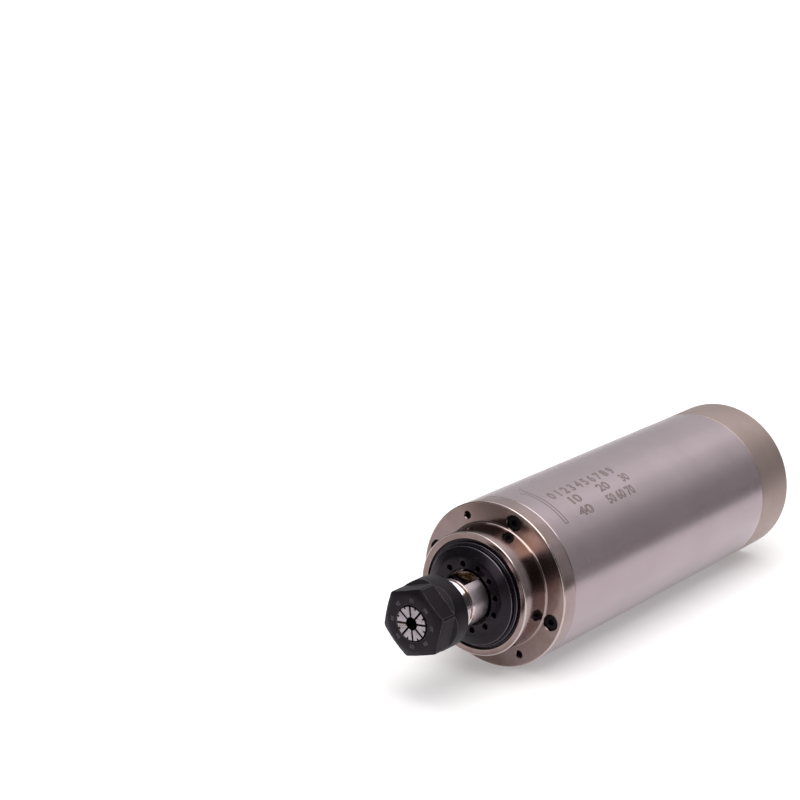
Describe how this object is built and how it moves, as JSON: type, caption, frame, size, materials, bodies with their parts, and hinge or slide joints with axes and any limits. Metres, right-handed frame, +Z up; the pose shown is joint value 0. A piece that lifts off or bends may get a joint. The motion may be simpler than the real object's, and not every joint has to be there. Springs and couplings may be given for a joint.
{
  "type": "motor spindle",
  "caption": "Water-cooled motor spindle: round sleeve body, bolted nose flange, screwed bearing cover, shaft with wrench flats, slotted collet and hexagonal collet nut.",
  "frame": {"origin": "on the spindle axis, in the plane of the front flange's face", "axes": "+X along the spindle axis towards the tool, +Z up as the spindle lies on its side"},
  "size_m": [0.2991, 0.08, 0.08],
  "materials": {
    "brushed_sleeve": "circumferentially brushed stainless steel",
    "plated_flange": "turned steel, bright nickel plate",
    "blasted_cap": "bead-blasted, champagne grey",
    "black_cover": "satin black",
    "black_screws": "black oxide",
    "cast_aluminium": "machined",
    "seal_rubber": "black",
    "lead_rubber": "red silicone insulation",
    "laminations": "stacked steel sheet",
    "copper": "varnished copper wire",
    "cage_aluminium": "die cast",
    "spring_steel": "spring steel",
    "bearing_steel": "ground and polished",
    "phenolic": "fabric-filled phenolic",
    "plated_brass": "nickel-plated brass",
    "gold_brass": "bare brass",
    "black_plastic": "moulded",
    "fibre_washer": "red fibre",
    "ground_steel": "hardened and ground",
    "collet_steel": "hardened, ground, lightly oiled",
    "black_oxide": "black oxide"
  },
  "bodies": {
    "housing": {"outer_housing": "brushed_sleeve", "front_bearing_housing": "plated_flange", "threaded_cover": "black_cover", "rear_cap": "blasted_cap", "flange_screws": "black_screws", "rear_cap_screws": "black_screws", "water_jacket": "cast_aluminium", "jacket_seals": "seal_rubber", "spigot_seals": "seal_rubber", "stator_core": "laminations", "stator_winding": "copper", "rear_bearing_bracket": "cast_aluminium", "preload_spring": "spring_steel", "front_outer_rings": "bearing_steel", "front_outer_spacer": "bearing_steel", "rear_outer_rings": "bearing_steel", "connector_leads": "lead_rubber", "connector_shell": "plated_brass", "connector_insert": "black_plastic", "connector_pins": "gold_brass", "connector_lock_nut": "plated_brass", "inlet_hose_fitting": "plated_brass", "outlet_hose_fitting": "plated_brass", "inlet_hose_nut": "plated_brass", "outlet_hose_nut": "plated_brass", "inlet_fitting_washer": "fibre_washer", "outlet_fitting_washer": "fibre_washer"},
    "rotor": {"shaft": "ground_steel", "front_lock_nut": "ground_steel", "rear_lock_nut": "ground_steel", "rotor_core": "laminations", "rotor_cage": "cage_aluminium", "balance_rings": "gold_brass", "front_inner_rings": "bearing_steel", "front_inner_spacer": "bearing_steel", "rear_inner_rings": "bearing_steel"},
    "front_cages": {"front_ball_cages": "phenolic", "front_balls": "bearing_steel"},
    "rear_cages": {"rear_ball_cages": "phenolic", "rear_balls": "bearing_steel"},
    "collet": {"collet": "collet_steel"},
    "nut": {"collet_nut": "black_oxide"}
  },
  "joints": [
    {"name": "spindle_spin", "type": "hinge", "parent": "housing", "child": "rotor", "pos_m": [0, 0, 0], "axis": [1, 0, 0], "continuous": true},
    {"name": "front_cage_orbit", "type": "hinge", "parent": "housing", "child": "front_cages", "pos_m": [0, 0, 0], "axis": [1, 0, 0], "continuous": true},
    {"name": "rear_cage_orbit", "type": "hinge", "parent": "housing", "child": "rear_cages", "pos_m": [0, 0, 0], "axis": [1, 0, 0], "continuous": true},
    {"name": "collet_draw", "type": "slide", "parent": "rotor", "child": "collet", "axis": [1, 0, 0], "range_m": [0, 0.0092]},
    {"name": "nut_turn", "type": "hinge", "parent": "collet", "child": "nut", "pos_m": [0, 0, 0], "axis": [1, 0, 0], "range_deg": [0, 2160]}
  ],
  "couplings": [
    {"joint": "front_cage_orbit", "follows": "spindle_spin", "ratio": 0.41481},
    {"joint": "rear_cage_orbit", "follows": "spindle_spin", "ratio": 0.40213},
    {"joint": "collet_draw", "follows": "nut_turn", "m_per_rad": 0.00023873}
  ]
}
